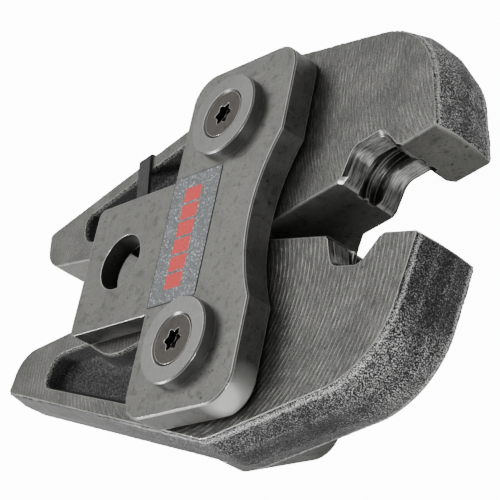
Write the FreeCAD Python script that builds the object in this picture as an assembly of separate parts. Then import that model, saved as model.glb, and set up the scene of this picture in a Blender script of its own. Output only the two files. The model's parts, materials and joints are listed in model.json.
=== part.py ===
"""Press fitting tool jaw: two forged levers that turn on two bolts between a pair of T-shaped side plates.

Millimetres. The origin is the centre of the retaining-pin bore, halfway between the two tabs. +X runs along
the midline towards the mouth, +Y towards the upper lever and +Z out of the front plate. The pieces are drawn
about the midpoint between the two bolts and moved to that origin when they are written.
"""

import FreeCAD, Part
import math
import os

V = FreeCAD.Vector

# Pivots and bolts
PIVOT_SPACING = 56.0          # between the two bolt axes, along Y
BOLT_RADIUS = 7.0
RUNNING_CLEARANCE = 0.05      # lever bore over bolt, and lever boss to plate
FIXED_CLEARANCE = 0.02        # plate bore over bolt, dowel in its hole

# Levers, drawn shut, with the parting face on the midline
LEVER_THICKNESS = 17.4        # over the two ground side faces
FACE_GAP = 1.0                # from a ground side face to the side plate
BOSS_RADIUS = 12.0            # turned boss that bears on both plates
UPPER_OPEN_DEG = 13.2         # as the photograph shows them
LOWER_OPEN_DEG = 11.2
PARTING_GAP = 0.1             # half the gap between the shut parting faces
HEAD_FRONT = 52.8             # front of the head, ahead of the bolts
HEAD_HALF_HEIGHT = 46.5       # highest point of the back of the head, from the midline
HEAD_CREST = 7.5              # that point, ahead of the bolts
SHOULDER_DROP = 17.6          # how far the back of the head falls from its crest to the front corner
SHOULDER_RADIUS = 21.5
CREST_RADIUS = 8.0
ARM_REAR = 77.1               # end of the rear arm, behind the bolts
RAMP_START = 28.4             # ramp line at the arm's end, from the midline
ARM_END_DEPTH = 10.6          # from there out to the back of the arm
RAMP_DEG = 19.1               # slope of the ramp that the thrust wheel runs on
RAMP_END = 43.6               # inner end of the ramp, behind the bolts
NOSE_RADIUS = 8.0
ARM_CORNER = 1.5              # rounding at the top of the arm's end
RAMP_CORNER = 0.5             # rounding at the inner end of the ramp
SCALLOP_BACK = 36.5           # centre of the relief behind the ramp, behind the bolts
SCALLOP_RADIUS = 7.6
SCALLOP_TOP = 22.1            # deepest point of the relief, from the midline
FLANK_BACK = 29.0             # straight inner flank: rear end
FLANK_BACK_HEIGHT = 17.3
FLANK_FRONT = 9.0             # and front end
FLANK_FRONT_HEIGHT = 11.2
FLANK_BACK_CORNER = 1.0
FLANK_FRONT_CORNER = 3.0
HEEL = 3.0                    # rear end of the parting face, ahead of the bolts
HEEL_CORNER = 1.5
TIP_CORNER = 1.3              # rounding between the parting face and the tip
FLASH_BAND = 6.0              # width of the trimmed band round the middle of the forged rim
HEAD_SWELL = 2.1              # how far the band stands out from the ground faces: back of the head
TIP_SWELL = 0.7               # at the tip
ARM_SWELL = 1.1               # at the back of the arm
END_SWELL = 0.45              # and at the rear end of the arm
RIM_ROUND = 0.5               # rounding between a ground face and the forged rim

# Pockets in the sides of the rear arm
POCKET_DEPTH = 5.0
POCKET_DRAFT = 1.6            # how far a wall comes in over that depth
POCKET_FLOOR_ROUND = 1.5
POCKET_END_WALL = 15.1        # wall left at the rear end of the arm
POCKET_FRONT = 13.5           # front end, under the plate
POCKET_RAMP_LENGTH = 12.5     # how far its edge follows the ramp
POCKET_HUMP_LENGTH = 12.0     # from there to where its edge bulges in round the relief
POCKET_BACK_WALLS = (3.6, 4.2)     # wall left at the back of the arm, at the rear and at the front end
POCKET_RAMP_WALLS = (5.2, 6.15)    # wall left at the ramp, at the rear end and at the knee
POCKET_RELIEF_WALL = 6.5
POCKET_FLANK_WALL = 5.4
POCKET_CORNER = 3.0
POCKET_RAMP_CORNER = 5.0      # its rear corner along the ramp
POCKET_KNEE_ROUND = 2.2
POCKET_HUMP_ROUND = 14.0

# Press contour in the mouth: six-sided lands with a bead groove between them
MOUTH_FRONT = 34.3            # its axis, ahead of the bolts
LAND_FLAT = 6.6               # half the distance across the flats of the lands
LAND_CORNER_RADIUS = 3.2
LAND_FLARE = 0.8              # how far the land opens where it meets the parting face
LAND_FLARE_TOP = 1.2          # height from the midline at which the opening out starts
LEAD_IN = 0.7                 # how far the chamfer at each side face opens the lands
LEAD_IN_DEPTH = 1.1
BEAD_RADIUS = 9.0
BEAD_WIDTH = 5.2
BEAD_FLANK = 0.8
BEAD_RIB_RADIUS = 8.3
BEAD_RIB_WIDTH = 0.9
BEAD_RIB_FLANK = 0.4

# Side plates
PLATE_THICKNESS = 6.5
PLATE_OVERHANG = 15.6         # from a bolt's axis to the end of the plate
PLATE_REAR = 16.3             # straight rear edge, behind the bolts
PLATE_FRONT = 18.5            # front edge at the two ends, ahead of the bolts
PLATE_CORNER = 6.8
WAIST_LENGTH = 40.4           # chord of the hollow in the front edge
WAIST_DEPTH = 5.1
PLATE_CHAMFER = 0.35
TAB_WIDTH = 33.8
TAB_REAR = 46.4               # rear edge of the tab, behind the bolts
TAB_STEP = 1.35               # how far the tab's outer face lies below the plate's
TAB_CORNER = 2.0
TAB_ROOT = 1.0                # how far the tab runs on into the head
PIN_BORE_RADIUS = 7.1
PIN_BORE_BACK = 32.9          # retaining-pin bore, behind the bolts

# Washers and countersunk screws at the four bolt ends
WASHER_RADIUS = 10.2
WASHER_THICKNESS = 3.1
WASHER_EDGE = 0.35
SCREW_HEAD_RADIUS = 5.75
SCREW_SHANK_RADIUS = 2.9
SCREW_SUNK = 0.25             # head below the washer's face
SCREW_REACH = 12.0            # below the plate's outer face
SCREW_END_GAP = 1.0           # tapped hole beyond the screw's end
COUNTERSINK_GAP = 0.3         # round the head, at its top
SOCKET_LOBES = 6
SOCKET_POINT = 3.08           # corners of the star that makes the socket, before rounding
SOCKET_WAIST = 1.95           # and its inner corners
SOCKET_ROUND = 0.4
SOCKET_DEPTH = 2.0

# Closing spring on its dowel
SPRING_PIN_RADIUS = 2.5
SPRING_PIN_FRONT = -6.5       # along X, from the line of the bolts
SPRING_PIN_SEAT = 3.0         # how deep the dowel sits in each plate
SPRING_WIRE_RADIUS = 0.7
SPRING_COIL_GAP = 0.35        # coil to dowel
SPRING_TURNS = 4
SPRING_PITCH = 1.55
SPRING_ARCS_A_TURN = 6
SPRING_LEG = 9.0
SPRING_LEG_DEG = 27.0         # leg from the midline

# Strap round the upper arm, and the label
STRAP_SHIFT = 2.6             # middle of the strap, behind the centre of the relief that it sits in
STRAP_WIDTH = 4.2
STRAP_THICKNESS = 0.8
STRAP_SLACK = 0.05
STRAP_CORNER = 0.3            # inside rounding over the edges of the back of the arm
STRAP_RIDGE_ROUND = 1.5       # inside rounding over the edges of the band
LABEL_LENGTH = 33.0
LABEL_WIDTH = 16.4
LABEL_THICKNESS = 0.12
LABEL_CORNER = 1.2
LABEL_REAR_CORNER = 0.3

# Cutting tools run this far past the faces they cut
OVERCUT = 1.0
SAME_HEIGHT = 0.01            # edges this near to a height count as lying at it

# Worked out from the above
PIVOT_Y = PIVOT_SPACING / 2
HALF_LEVER = LEVER_THICKNESS / 2
PLATE_INNER = HALF_LEVER + FACE_GAP
PLATE_OUTER = PLATE_INNER + PLATE_THICKNESS
TAB_OUTER = PLATE_OUTER - TAB_STEP
BORE_RADIUS = BOLT_RADIUS + RUNNING_CLEARANCE
HEX_LEAN = math.tan(math.radians(30))
HEX_HALF_WIDTH = 2 * HEX_LEAN


def rounded(corners, z=0.0):
    """Closed wire in the plane z through (x, y, radius) corners, each rounded by its radius."""
    edges, ends = [], []
    count = len(corners)
    for i, (x, y, radius) in enumerate(corners):
        here = V(x, y, z)
        before = V(*corners[i - 1][:2], z) - here
        after = V(*corners[(i + 1) % count][:2], z) - here
        half = before.getAngle(after) / 2
        before.normalize()
        after.normalize()
        setback = radius / math.tan(half)
        start, end = here + before * setback, here + after * setback
        if radius > 0:
            middle = (before + after).normalize() * (radius / math.sin(half) - radius)
            edges.append(Part.Arc(start, here + middle, end).toShape())
        ends.append((start, end))
    lines = [Part.makeLine(ends[i][1], ends[(i + 1) % count][0]) for i in range(count)]
    return Part.Wire(Part.__sortEdges__(edges + lines))


def slab(corners, low, high):
    """Solid between two heights with the given rounded outline."""
    return Part.Face(rounded(corners, low)).extrude(V(0, 0, high - low))


def grown(corners, offsets):
    """The same polygon with each side, from corner i to the next, moved out to its right by offsets[i]."""
    count = len(corners)
    sides = []
    for i in range(count):
        a, b = V(*corners[i][:2], 0), V(*corners[(i + 1) % count][:2], 0)
        along = (b - a).normalize()
        out = V(along.y, -along.x, 0)
        sides.append((a + out * offsets[i], along))
    moved = []
    for i, (_, _, radius) in enumerate(corners):
        (p, u), (q, w) = sides[i - 1], sides[i]
        cross = u.x * w.y - u.y * w.x
        reach = ((q - p).x * w.y - (q - p).y * w.x) / cross
        meet = p + u * reach
        moved.append((meet.x, meet.y, radius))
    return moved


def bends(corners):
    """Which way an outline turns at each corner: above zero to the left."""
    turns = []
    for i, (x, y, _) in enumerate(corners):
        into = V(x, y, 0) - V(*corners[i - 1][:2], 0)
        out = V(*corners[(i + 1) % len(corners)][:2], 0) - V(x, y, 0)
        turns.append(into.cross(out).z)
    return turns


def drafted(low_corners, low, high_corners, high):
    """Solid with straight-ruled sides between two outlines at two heights."""
    wires = [rounded(low_corners, low), rounded(high_corners, high)]
    return Part.makeLoft(wires, True, True)


def disc(radius, low, high, x=0.0, y=0.0):
    """Cylinder along Z between two heights."""
    return Part.makeCylinder(radius, high - low, V(x, y, low))


def front_to_back(shape):
    """Mirror image in the mid-plane."""
    return shape.mirror(V(0, 0, 0), V(0, 0, 1))


def upper_to_lower(shape):
    """Mirror image in the midline."""
    return shape.mirror(V(0, 0, 0), V(0, 1, 0))


def both_sides(shape):
    """The shape and its mirror image in the mid-plane."""
    return [shape, front_to_back(shape)]


def turned(profile, x=0.0, y=0.0):
    """Solid of revolution about the vertical axis at x, y from (radius, height) points."""
    points = [V(x + r, y, z) for r, z in profile]
    face = Part.Face(Part.makePolygon(points + points[:1]))
    return face.revolve(V(x, y, 0), V(0, 0, 1), 360)


def back_height(x):
    """Height of the back of the rear arm above the midline, at its ground faces."""
    end_height = RAMP_START + ARM_END_DEPTH
    return end_height + (HEAD_HALF_HEIGHT - end_height) * (x + ARM_REAR) / (HEAD_CREST + ARM_REAR)


def ramp_height(x):
    """Height of the ramp above the midline."""
    return RAMP_START - (x + ARM_REAR) * math.tan(math.radians(RAMP_DEG))


def flank_height(x):
    """Height of the inner flank, from the relief to the parting face, above the midline."""
    rise = (FLANK_BACK_HEIGHT - FLANK_FRONT_HEIGHT) / (FLANK_BACK - FLANK_FRONT)
    return FLANK_FRONT_HEIGHT - (x + FLANK_FRONT) * rise


def lever_corners():
    """Outline of the upper lever at its ground faces, shut, anticlockwise from the parting face's heel."""
    shoulder_y = HEAD_HALF_HEIGHT - SHOULDER_DROP
    return [
        (HEEL, PARTING_GAP, HEEL_CORNER),
        (HEAD_FRONT, PARTING_GAP, TIP_CORNER),
        (HEAD_FRONT, shoulder_y, SHOULDER_RADIUS),
        (HEAD_CREST, HEAD_HALF_HEIGHT, CREST_RADIUS),
        (-ARM_REAR, back_height(-ARM_REAR), ARM_CORNER),
        (-ARM_REAR, RAMP_START, NOSE_RADIUS),
        (-RAMP_END, ramp_height(-RAMP_END), RAMP_CORNER),
        (-FLANK_BACK, FLANK_BACK_HEIGHT, FLANK_BACK_CORNER),
        (-FLANK_FRONT, FLANK_FRONT_HEIGHT, FLANK_FRONT_CORNER),
    ]


def on_forged_rim(point):
    """Whether a point on the shut lever's outline lies between the tip's corner and the nose of the arm."""
    ahead = point.x > MOUTH_FRONT + BEAD_RADIUS and point.y > PARTING_GAP + TIP_CORNER
    return ahead or point.y > RAMP_START + NOSE_RADIUS / 2


def pocket_corners():
    """Outline of the pocket's mouth, anticlockwise from the rear end of its edge along the ramp."""
    rear = POCKET_END_WALL - ARM_REAR
    knee = rear + POCKET_RAMP_LENGTH
    hump = knee + POCKET_HUMP_LENGTH
    return [
        (rear, ramp_height(rear) + POCKET_RAMP_WALLS[0], POCKET_RAMP_CORNER),
        (knee, ramp_height(knee) + POCKET_RAMP_WALLS[1], POCKET_KNEE_ROUND),
        (hump, SCALLOP_TOP + POCKET_RELIEF_WALL, POCKET_HUMP_ROUND),
        (-POCKET_FRONT, flank_height(-POCKET_FRONT) + POCKET_FLANK_WALL, POCKET_CORNER),
        (-POCKET_FRONT, back_height(-POCKET_FRONT) - POCKET_BACK_WALLS[1], POCKET_CORNER),
        (rear, back_height(rear) - POCKET_BACK_WALLS[0], POCKET_CORNER),
    ]


def tapered(corners, low, high, taper):
    """Solid whose walls lean out by taper from the low outline to the high one, with conical corners."""
    wide = grown(corners, [taper] * len(corners))
    faces = [Part.Face(rounded(corners, low))]
    joints = []
    for i, (x, y, radius) in enumerate(corners):
        before, after = V(*corners[i - 1][:2], 0), V(*corners[(i + 1) % len(corners)][:2], 0)
        here = V(x, y, 0)
        into, out = (here - before).normalize(), (after - here).normalize()
        turn = math.atan2(into.cross(out).z, into.dot(out))
        wide_radius = radius + math.copysign(taper, turn)
        setback = abs(math.tan(turn / 2))
        low_start = here - into * radius * setback
        high_start = V(*wide[i][:2], 0) - into * wide_radius * setback
        axis = low_start + V(-into.y, into.x, 0) * math.copysign(radius, turn)
        seam = Part.makeLine(low_start + V(0, 0, low), high_start + V(0, 0, high))
        faces.append(seam.revolve(axis, V(0, 0, 1), math.degrees(turn)))
        end = seam.copy()
        end.rotate(axis, V(0, 0, 1), math.degrees(turn))
        joints.append((seam, end, wide_radius))
    for i, (seam, _, _) in enumerate(joints):
        last = joints[i - 1][1]
        ring = last.Vertexes[:1] + seam.Vertexes[:] + last.Vertexes[1:] + last.Vertexes[:1]
        faces.append(Part.Face(Part.makePolygon([vertex.Point for vertex in ring])))
    rim = [(wide[i][0], wide[i][1], joints[i][2]) for i in range(len(corners))]
    faces.append(Part.Face(rounded(rim, high)))
    shell = Part.makeShell(faces)
    shell.sewShape()
    return Part.makeSolid(shell)


def pocket():
    """Tool that sinks the pocket in the front side of the rear arm."""
    slope = POCKET_DRAFT / POCKET_DEPTH
    rim = pocket_corners()
    sizes = [radius - math.copysign(POCKET_DRAFT, bend) for (_, _, radius), bend in zip(rim, bends(rim))]
    floor = [(x, y, size) for (x, y, _), size in zip(grown(rim, [-POCKET_DRAFT] * len(rim)), sizes)]
    tool = tapered(floor, HALF_LEVER - POCKET_DEPTH, HALF_LEVER + OVERCUT, slope * (POCKET_DEPTH + OVERCUT))
    floor_edges = [e for e in tool.Edges if e.BoundBox.ZMax < HALF_LEVER - POCKET_DEPTH + SAME_HEIGHT]
    return tool.makeFillet(POCKET_FLOOR_ROUND, floor_edges)


def land_corners(flat, flare):
    """Half of a six-sided opening above the parting face, widened by flare where it meets that face."""
    width = flat * HEX_HALF_WIDTH
    narrowing = LAND_FLARE_TOP * HEX_LEAN
    x = MOUTH_FRONT
    return [
        (x - width - flare, -OVERCUT, 0),
        (x + width + flare, -OVERCUT, 0),
        (x + width + flare, PARTING_GAP, 0),
        (x + width - narrowing, LAND_FLARE_TOP, 0),
        (x + width / 2, flat, LAND_CORNER_RADIUS),
        (x - width / 2, flat, LAND_CORNER_RADIUS),
        (x - width + narrowing, LAND_FLARE_TOP, 0),
        (x - width - flare, PARTING_GAP, 0),
    ]


def press_contour():
    """Tools that cut the press contour: the lands, their lead-ins and the bead groove."""
    lands = slab(land_corners(LAND_FLAT, LAND_FLARE), -HALF_LEVER - OVERCUT, HALF_LEVER + OVERCUT)
    opened = LAND_FLAT + LEAD_IN * (LEAD_IN_DEPTH + OVERCUT) / LEAD_IN_DEPTH
    lead_in = drafted(
        land_corners(LAND_FLAT, LAND_FLARE), HALF_LEVER - LEAD_IN_DEPTH,
        land_corners(opened, LAND_FLARE), HALF_LEVER + OVERCUT,
    )
    half = BEAD_WIDTH / 2
    rib = BEAD_RIB_WIDTH / 2
    bead = turned([
        (0, -half - BEAD_FLANK), (LAND_FLAT, -half - BEAD_FLANK), (BEAD_RADIUS, -half),
        (BEAD_RADIUS, -rib - BEAD_RIB_FLANK), (BEAD_RIB_RADIUS, -rib),
        (BEAD_RIB_RADIUS, rib), (BEAD_RADIUS, rib + BEAD_RIB_FLANK),
        (BEAD_RADIUS, half), (LAND_FLAT, half + BEAD_FLANK), (0, half + BEAD_FLANK),
    ], MOUTH_FRONT)
    return [lands, bead] + both_sides(lead_in)


def shut_lever():
    """The upper lever in its shut position."""
    face = lever_corners()
    band = grown(face, [0, TIP_SWELL, HEAD_SWELL, ARM_SWELL, END_SWELL, 0, 0, 0, 0])
    front_half = drafted(band, FLASH_BAND / 2, face, HALF_LEVER)
    ground_edges = [e for e in front_half.Edges if e.BoundBox.ZMin > HALF_LEVER - SAME_HEIGHT]
    front_half = front_half.makeFillet(RIM_ROUND, [e for e in ground_edges if on_forged_rim(e.CenterOfMass)])
    middle = slab(band, -FLASH_BAND / 2, FLASH_BAND / 2)
    body = middle.fuse(both_sides(front_half)).removeSplitter()
    boss = disc(BOSS_RADIUS, -PLATE_INNER + RUNNING_CLEARANCE, PLATE_INNER - RUNNING_CLEARANCE, 0, PIVOT_Y)
    body = body.fuse(boss)
    scallop = disc(SCALLOP_RADIUS, -PLATE_INNER, PLATE_INNER, -SCALLOP_BACK, SCALLOP_TOP - SCALLOP_RADIUS)
    bore = disc(BORE_RADIUS, -PLATE_OUTER, PLATE_OUTER, 0, PIVOT_Y)
    return body.cut([scallop, bore] + both_sides(pocket()) + press_contour())


def swung(shape, degrees):
    """The shut upper piece swung open about the upper bolt."""
    shape = shape.copy()
    shape.rotate(V(0, PIVOT_Y, 0), V(0, 0, 1), degrees)
    return shape


def front_plate():
    """Front side plate: dog-bone head with a hollow front edge, and the thinner tab behind it."""
    end = PIVOT_Y + PLATE_OVERHANG
    waist = WAIST_LENGTH / 2
    corners = [
        (-PLATE_REAR, -end, PLATE_CORNER),
        (PLATE_FRONT, -end, PLATE_CORNER),
        (PLATE_FRONT, end, PLATE_CORNER),
        (-PLATE_REAR, end, PLATE_CORNER),
    ]
    head = slab(corners, PLATE_INNER, PLATE_OUTER)
    waist_radius = (waist ** 2 + WAIST_DEPTH ** 2) / (2 * WAIST_DEPTH)
    head = head.cut(disc(waist_radius, 0, PLATE_OUTER + OVERCUT, PLATE_FRONT - WAIST_DEPTH + waist_radius, 0))
    rim = [e for e in head.Edges if e.BoundBox.ZMin > PLATE_OUTER - SAME_HEIGHT]
    head = head.makeChamfer(PLATE_CHAMFER, rim)
    half_tab = TAB_WIDTH / 2
    tab_corners = [
        (-TAB_REAR, -half_tab, TAB_CORNER),
        (-PLATE_REAR + TAB_ROOT, -half_tab, 0),
        (-PLATE_REAR + TAB_ROOT, half_tab, 0),
        (-TAB_REAR, half_tab, TAB_CORNER),
    ]
    plate = head.fuse(slab(tab_corners, PLATE_INNER, TAB_OUTER)).removeSplitter()
    seat = BOLT_RADIUS + FIXED_CLEARANCE
    dowel_seat = SPRING_PIN_RADIUS + FIXED_CLEARANCE
    return plate.cut([
        disc(seat, 0, PLATE_OUTER + OVERCUT, 0, PIVOT_Y),
        disc(seat, 0, PLATE_OUTER + OVERCUT, 0, -PIVOT_Y),
        disc(PIN_BORE_RADIUS, 0, PLATE_OUTER + OVERCUT, -PIN_BORE_BACK, 0),
        disc(dowel_seat, 0, PLATE_INNER + SPRING_PIN_SEAT + FIXED_CLEARANCE, SPRING_PIN_FRONT, 0),
    ])


def upper_bolt():
    """Pivot bolt, flush with both plates and tapped at both ends for the screws."""
    tapping = SCREW_SHANK_RADIUS + FIXED_CLEARANCE
    bottom = PLATE_OUTER - SCREW_REACH - SCREW_END_GAP
    bolt = disc(BOLT_RADIUS, -PLATE_OUTER, PLATE_OUTER, 0, PIVOT_Y)
    return bolt.cut(both_sides(disc(tapping, bottom, PLATE_OUTER + OVERCUT, 0, PIVOT_Y)))


def front_upper_washer():
    """Thick turned washer with a countersink, seated on the plate and the bolt's end."""
    top = PLATE_OUTER + WASHER_THICKNESS
    mouth = SCREW_HEAD_RADIUS + COUNTERSINK_GAP + SCREW_SUNK
    throat = SCREW_SHANK_RADIUS + COUNTERSINK_GAP
    return turned([
        (throat, PLATE_OUTER), (WASHER_RADIUS, PLATE_OUTER), (WASHER_RADIUS, top - WASHER_EDGE),
        (WASHER_RADIUS - WASHER_EDGE, top), (mouth, top), (throat, top - mouth + throat),
    ], 0, PIVOT_Y)


def front_upper_screw():
    """Countersunk screw with a six-lobe socket, a little below the washer's face."""
    top = PLATE_OUTER + WASHER_THICKNESS - SCREW_SUNK
    neck = top - SCREW_HEAD_RADIUS + SCREW_SHANK_RADIUS
    end = PLATE_OUTER - SCREW_REACH
    body = turned([
        (0, end), (SCREW_SHANK_RADIUS, end), (SCREW_SHANK_RADIUS, neck), (SCREW_HEAD_RADIUS, top), (0, top),
    ], 0, PIVOT_Y)
    lobes = []
    for i in range(2 * SOCKET_LOBES):
        radius = SOCKET_WAIST if i % 2 else SOCKET_POINT
        angle = math.pi * i / SOCKET_LOBES
        lobes.append((radius * math.cos(angle), PIVOT_Y + radius * math.sin(angle), SOCKET_ROUND))
    return body.cut(slab(lobes, top - SOCKET_DEPTH, top + OVERCUT))


def spring_pin():
    """Dowel between the plates that carries the spring's coil."""
    reach = PLATE_INNER + SPRING_PIN_SEAT
    return disc(SPRING_PIN_RADIUS, -reach, reach, SPRING_PIN_FRONT, 0)


def closing_spring():
    """Leg spring whose legs point back along the inner flanks of the two levers.

    The coil is a chain of equal arcs. Each lies in the plane of its chord and its middle radius, and is bent
    so that it runs on into the next without a kink.
    """
    radius = SPRING_PIN_RADIUS + SPRING_COIL_GAP + SPRING_WIRE_RADIUS
    foot = math.radians(90 - SPRING_LEG_DEG)
    sweep = 2 * math.pi * (SPRING_TURNS - 1) + 2 * foot
    count = round(SPRING_ARCS_A_TURN * sweep / (2 * math.pi))
    step = sweep / count
    rise = SPRING_PITCH * step / (2 * math.pi)
    chord = math.hypot(2 * radius * math.sin(step / 2), rise)
    bend = math.atan(2 * radius * math.sin(step / 2) / chord * math.tan(step / 2))
    crown = radius * math.cos(step / 2) + chord / 2 * math.tan(bend / 2)

    def point(reach, steps):
        turn = steps * step - foot
        height = rise * (steps - count / 2)
        return V(SPRING_PIN_FRONT + reach * math.cos(turn), reach * math.sin(turn), height)

    arcs = [Part.Arc(point(radius, i), point(crown, i + 0.5), point(radius, i + 1)) for i in range(count)]
    first, last = arcs[0].tangent(arcs[0].FirstParameter)[0], arcs[-1].tangent(arcs[-1].LastParameter)[0]
    start, end = point(radius, 0), point(radius, count)
    legs = [Part.makeLine(start - first * SPRING_LEG, start), Part.makeLine(end, end + last * SPRING_LEG)]
    path = Part.Wire([legs[0]] + [arc.toShape() for arc in arcs] + [legs[1]])
    section = Part.Face(Part.Wire(Part.makeCircle(SPRING_WIRE_RADIUS, start - first * SPRING_LEG, first)))
    return path.makePipe(section)


def retaining_strap():
    """Narrow band pulled tight round the shut upper arm, at its relief."""
    reach = STRAP_WIDTH / 2
    middle = -SCALLOP_BACK - STRAP_SHIFT
    back_of_arm = back_height(middle + reach) + STRAP_SLACK
    scallop_y = SCALLOP_TOP - SCALLOP_RADIUS
    front_of_arm = scallop_y + math.sqrt(SCALLOP_RADIUS ** 2 - (STRAP_SHIFT + reach) ** 2) - STRAP_SLACK
    ridge = back_of_arm + ARM_SWELL
    inside = [
        (front_of_arm, -HALF_LEVER, 0),
        (back_of_arm, -HALF_LEVER, STRAP_CORNER),
        (ridge, -FLASH_BAND / 2, STRAP_RIDGE_ROUND),
        (ridge, FLASH_BAND / 2, STRAP_RIDGE_ROUND),
        (back_of_arm, HALF_LEVER, STRAP_CORNER),
        (front_of_arm, HALF_LEVER, 0),
    ]
    thick = STRAP_THICKNESS
    outside = [(y, z, radius + thick) for y, z, radius in grown(inside, [thick] * len(inside))]
    band = slab(outside, -reach, reach).cut(slab(inside, -reach - OVERCUT, reach + OVERCUT))
    band.rotate(V(0, 0, 0), V(1, 1, 1), 120)  # the section was drawn flat, as (Y, Z) points
    band.translate(V(middle, 0, 0))
    return band


def label_foil():
    """Foil stuck on the front plate along its rear edge, between the washers."""
    half = LABEL_LENGTH / 2
    rear = -PLATE_REAR + PLATE_CHAMFER
    corners = [
        (rear, -half, LABEL_REAR_CORNER),
        (rear + LABEL_WIDTH, -half, LABEL_CORNER),
        (rear + LABEL_WIDTH, half, LABEL_CORNER),
        (rear, half, LABEL_REAR_CORNER),
    ]
    return slab(corners, PLATE_OUTER, PLATE_OUTER + LABEL_THICKNESS)


def main():
    lever, plate, bolt = shut_lever(), front_plate(), upper_bolt()
    washer, screw = front_upper_washer(), front_upper_screw()
    nodes = {
        "upper_jaw_lever": swung(lever, UPPER_OPEN_DEG),
        "lower_jaw_lever": upper_to_lower(swung(lever, LOWER_OPEN_DEG)),
        "front_side_plate": plate,
        "back_side_plate": front_to_back(plate),
        "upper_pivot_bolt": bolt,
        "lower_pivot_bolt": upper_to_lower(bolt),
        "spring_pin": spring_pin(),
        "closing_spring": closing_spring(),
        "retaining_strap": swung(retaining_strap(), UPPER_OPEN_DEG),
        "label_foil": label_foil(),
    }
    for piece, shape in (("washer", washer), ("screw", screw)):
        nodes[f"front_upper_{piece}"] = shape
        nodes[f"front_lower_{piece}"] = upper_to_lower(shape)
        nodes[f"back_upper_{piece}"] = front_to_back(shape)
        nodes[f"back_lower_{piece}"] = upper_to_lower(front_to_back(shape))
    os.makedirs("parts", exist_ok=True)
    for name, shape in nodes.items():
        shape.translate(V(PIN_BORE_BACK, 0, 0))
        print(name, shape.isValid(), len(shape.Solids), round(shape.Volume, 1))
        shape.exportStep(f"parts/{name}.step")


main()
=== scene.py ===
"""Press fitting tool jaw: the finishes, worn details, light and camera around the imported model.

Metres, in the model's own frame: the origin is the centre of the retaining-pin bore, +X points to the mouth,
+Y to the upper lever and +Z out of the front side plate. The jaw lies on its back washers. Sizes in the
finishes and the levers are in millimetres, and a finish's patterns are laid out in millimetres too.
"""

import json
import logging
import math
from dataclasses import dataclass
from enum import Enum

import bpy
from mathutils import Matrix, Vector

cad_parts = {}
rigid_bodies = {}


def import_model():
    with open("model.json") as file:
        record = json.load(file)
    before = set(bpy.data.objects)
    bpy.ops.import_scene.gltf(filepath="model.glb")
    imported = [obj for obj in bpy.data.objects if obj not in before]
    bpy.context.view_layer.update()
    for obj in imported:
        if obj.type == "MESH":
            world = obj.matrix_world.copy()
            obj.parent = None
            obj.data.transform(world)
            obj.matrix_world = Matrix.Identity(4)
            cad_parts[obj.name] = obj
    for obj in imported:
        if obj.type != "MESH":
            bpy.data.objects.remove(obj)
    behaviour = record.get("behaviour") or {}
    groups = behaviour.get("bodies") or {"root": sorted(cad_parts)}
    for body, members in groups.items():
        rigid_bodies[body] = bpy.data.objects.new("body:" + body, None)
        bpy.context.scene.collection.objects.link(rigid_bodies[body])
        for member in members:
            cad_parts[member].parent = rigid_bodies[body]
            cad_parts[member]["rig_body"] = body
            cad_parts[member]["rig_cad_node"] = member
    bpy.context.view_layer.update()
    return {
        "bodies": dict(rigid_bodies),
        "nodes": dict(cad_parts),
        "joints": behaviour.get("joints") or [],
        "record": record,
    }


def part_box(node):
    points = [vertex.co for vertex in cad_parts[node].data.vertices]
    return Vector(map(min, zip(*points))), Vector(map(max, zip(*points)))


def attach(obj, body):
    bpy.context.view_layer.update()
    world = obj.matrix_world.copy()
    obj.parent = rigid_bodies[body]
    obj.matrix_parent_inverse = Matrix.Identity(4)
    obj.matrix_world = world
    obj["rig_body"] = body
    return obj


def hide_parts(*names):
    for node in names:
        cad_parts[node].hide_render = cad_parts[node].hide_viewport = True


LOG = logging.getLogger("press_jaw")
MM = 0.001
ORIGIN = Vector((0, 0, 0))
MERGE_REACH = 0.002
FLAT_DEG = 0.3

Socket = bpy.types.NodeSocket
Triple = tuple[float, float, float]
Stops = tuple[tuple[float, float], ...]


class Body(Enum):
    """The bodies that the levers ride on."""

    UPPER_JAW = "upper_jaw"
    LOWER_JAW = "lower_jaw"


class Region(Enum):
    """The kinds of surface on a lever, in the order of its material slots."""

    GROUND = 0
    FORGED = 1
    MACHINED = 2
    POCKET = 3
    PRESS = 4


def deselect() -> None:
    """Leave nothing selected, in object mode."""
    if bpy.context.mode != "OBJECT":
        bpy.ops.object.mode_set(mode="OBJECT")
    bpy.ops.object.select_all(action="DESELECT")


def activate(piece: bpy.types.Object) -> None:
    """Select one object alone and make it the active one.

    Args:
        piece: The object to work on.
    """
    deselect()
    piece.select_set(True)
    bpy.context.view_layer.objects.active = piece


def finish_modifier(piece: bpy.types.Object, modifier: bpy.types.Modifier) -> None:
    """Apply one of an object's modifiers to its mesh."""
    activate(piece)
    bpy.ops.object.modifier_apply(modifier=modifier.name)


def settle(piece: bpy.types.Object) -> None:
    """Move an object's place, turn and scale into its mesh."""
    activate(piece)
    bpy.ops.object.transform_apply(location=True, rotation=True, scale=True)


def pick_slot(piece: bpy.types.Object, slot: int) -> None:
    """Select exactly the faces of one material slot, in edit mode.

    Args:
        piece: The mesh object, in edit mode.
        slot: The slot's number.
    """
    bpy.ops.mesh.select_all(action="DESELECT")
    piece.active_material_index = slot
    bpy.ops.object.material_slot_select()


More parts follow.
